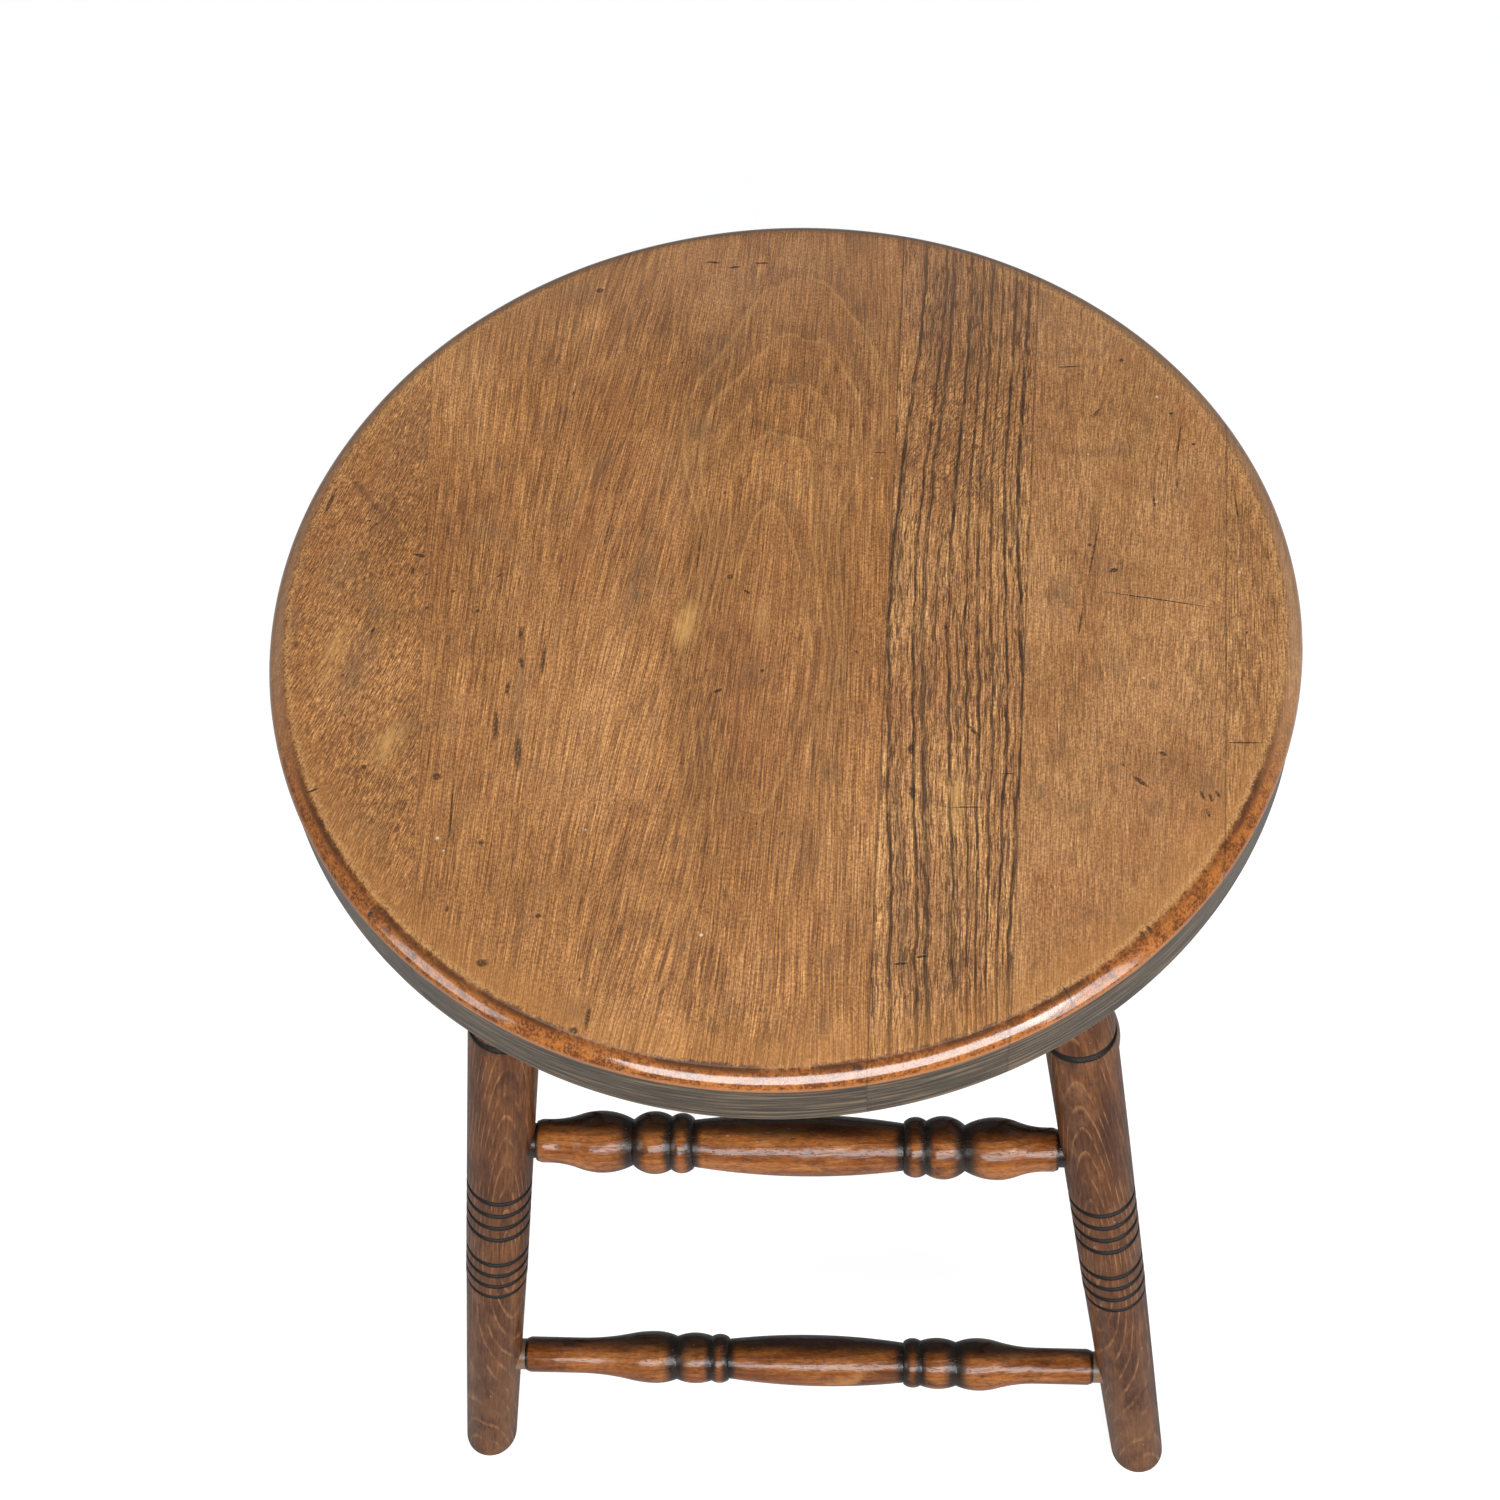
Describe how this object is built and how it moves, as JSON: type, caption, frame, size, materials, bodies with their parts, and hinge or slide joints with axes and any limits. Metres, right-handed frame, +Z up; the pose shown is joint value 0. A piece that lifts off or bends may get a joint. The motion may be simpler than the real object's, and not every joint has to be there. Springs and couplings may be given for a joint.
{
  "type": "farmhouse stool",
  "caption": "Farmhouse stool with a round edge-glued board seat, splayed turned legs with ring grooves, and turned vase-and-ball stretchers tenoned between the legs.",
  "frame": {"origin": "on the floor under the middle of the seat", "axes": "+Z up, +X to the right as seen from the front, front towards -Y; the seat's grain runs front to back"},
  "size_m": [0.344, 0.35, 0.452],
  "materials": {
    "seat_wood": "worn waxed beech, semi-matt on top, glossier at the edge",
    "coarse_wood": "worn coarse-grained oak, semi-matt",
    "leg_wood": "reddish brown beech, satin",
    "stretcher_wood": "orange-brown beech, polished, dark in the hollows"
  },
  "bodies": {
    "root": {"seat_board_left": "seat_wood", "seat_board_wide": "seat_wood", "seat_board_coarse": "coarse_wood", "seat_board_right": "seat_wood", "seat_board_edge": "seat_wood", "leg_front_left": "leg_wood", "leg_front_right": "leg_wood", "leg_back_left": "leg_wood", "leg_back_right": "leg_wood", "front_stretcher_upper": "stretcher_wood", "front_stretcher_lower": "stretcher_wood", "back_stretcher_upper": "stretcher_wood", "back_stretcher_lower": "stretcher_wood", "left_stretcher": "stretcher_wood", "right_stretcher": "stretcher_wood"}
  },
  "joints": []
}
